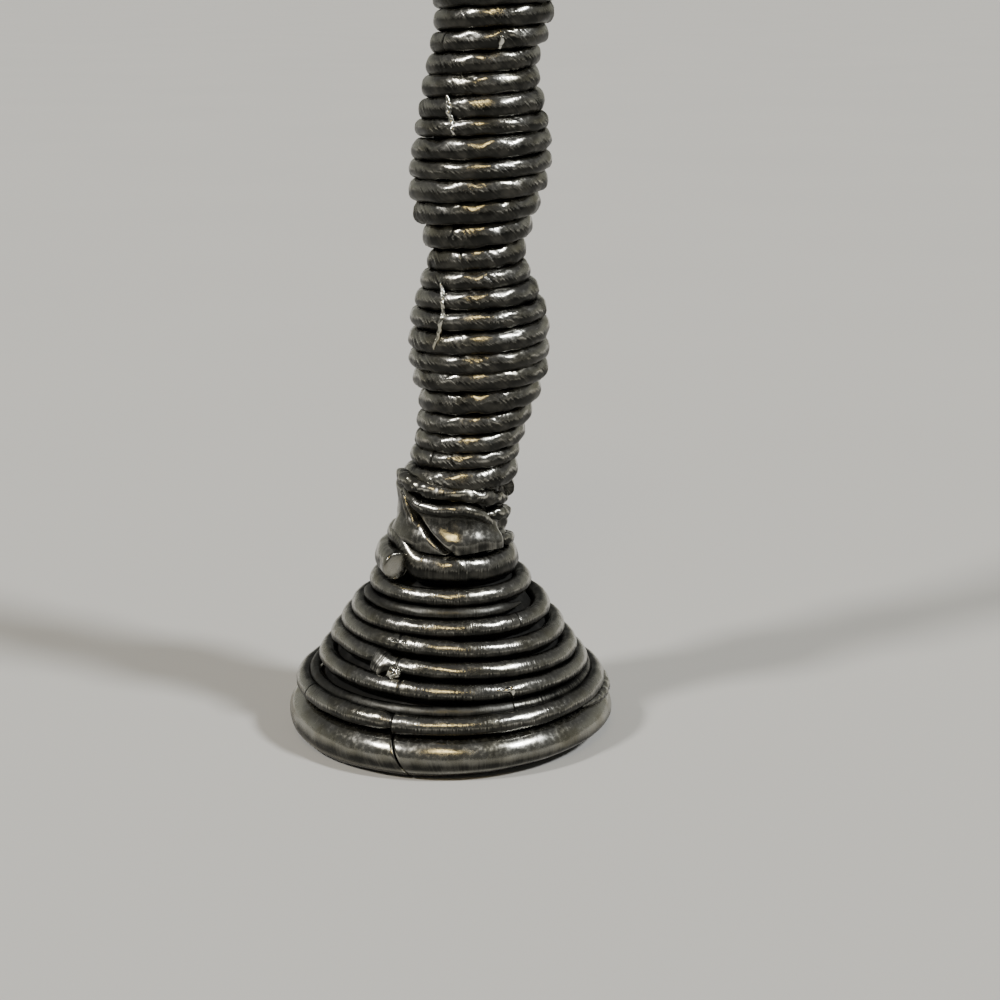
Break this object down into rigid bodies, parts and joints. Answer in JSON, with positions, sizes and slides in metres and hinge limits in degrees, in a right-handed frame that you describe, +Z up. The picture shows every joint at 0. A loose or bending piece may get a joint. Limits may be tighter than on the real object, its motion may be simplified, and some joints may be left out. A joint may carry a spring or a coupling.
{
  "type": "spiral candle holder",
  "caption": "Tall candlestick of dark oxidised metal wire wound over a leaning beaded stem and a cone base, with a thick foot ring and a round socket for a taper candle.",
  "frame": {"origin": "centre of the foot ring, on the surface that it stands on", "axes": "+Z up, -Y towards the pictured front, +X to the picture's right, the way the stem leans"},
  "size_m": [0.075, 0.075, 0.2325],
  "materials": {
    "oxidised_metal": "antiqued: black in the grooves, rubbed bright along the ridges",
    "blackened_core": "blackened",
    "cup_metal": "spun and darkened",
    "screw_steel": "zinc plated",
    "felt": "napped felt",
    "solder": "bright solder beads"
  },
  "bodies": {
    "root": {"foot_ring": "oxidised_metal", "base_ring": "oxidised_metal", "base_coil": "oxidised_metal", "lower_filler": "oxidised_metal", "upper_filler": "oxidised_metal", "shoulder_turn": "oxidised_metal", "neck_band": "oxidised_metal", "stem_coil_lower": "oxidised_metal", "stem_coil_middle": "oxidised_metal", "stem_coil_upper": "oxidised_metal", "cup_coil": "oxidised_metal", "rim_ring": "oxidised_metal", "rim_filler": "oxidised_metal", "base_core": "blackened_core", "stem_core": "blackened_core", "candle_cup": "cup_metal", "cup_screw": "screw_steel", "base_screw": "screw_steel", "base_washer": "screw_steel", "felt_pad": "felt", "base_tacks": "solder", "stem_tacks": "solder"}
  },
  "joints": []
}
